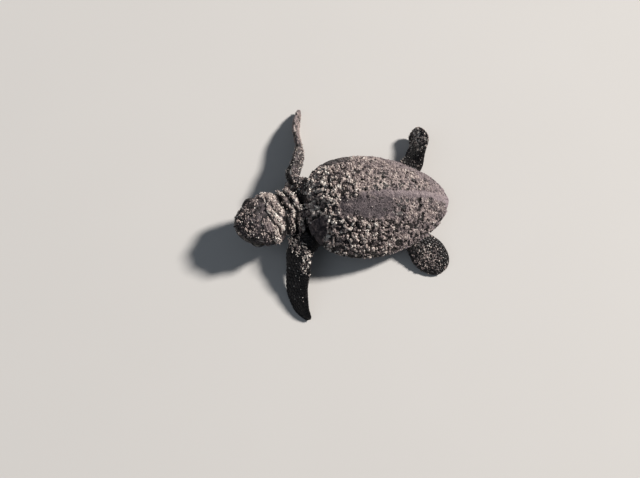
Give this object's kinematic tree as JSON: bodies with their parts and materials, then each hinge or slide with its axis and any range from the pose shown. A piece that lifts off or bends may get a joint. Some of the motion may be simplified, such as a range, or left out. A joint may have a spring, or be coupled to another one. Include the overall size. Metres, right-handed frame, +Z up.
{
  "type": "loggerhead turtle hatchling",
  "caption": "Life-size still model of a sea turtle hatchling in mid crawl, with a keeled heart-shaped shell, raised head and spread flippers.",
  "frame": {"origin": "on the floor, at the middle of the flat belly boss under the middle of the shell", "axes": "+Z up, the turtle faces -X, its right side is +Y"},
  "size_m": [0.0675, 0.0695, 0.02],
  "materials": {
    "shell": "dull dark horn, dusted with sand",
    "belly": "dull brown horn",
    "skin": "scaly, near black, dusted with sand",
    "eye": "wet, glossy"
  },
  "bodies": {
    "root": {"carapace": "shell", "plastron": "belly", "torso": "skin", "neck": "skin", "head": "skin", "lower_jaw": "skin", "eye_left": "eye", "eye_right": "eye", "front_flipper_left": "skin", "front_flipper_right": "skin", "hind_flipper_left": "skin", "hind_flipper_right": "skin", "tail": "skin"}
  },
  "joints": []
}
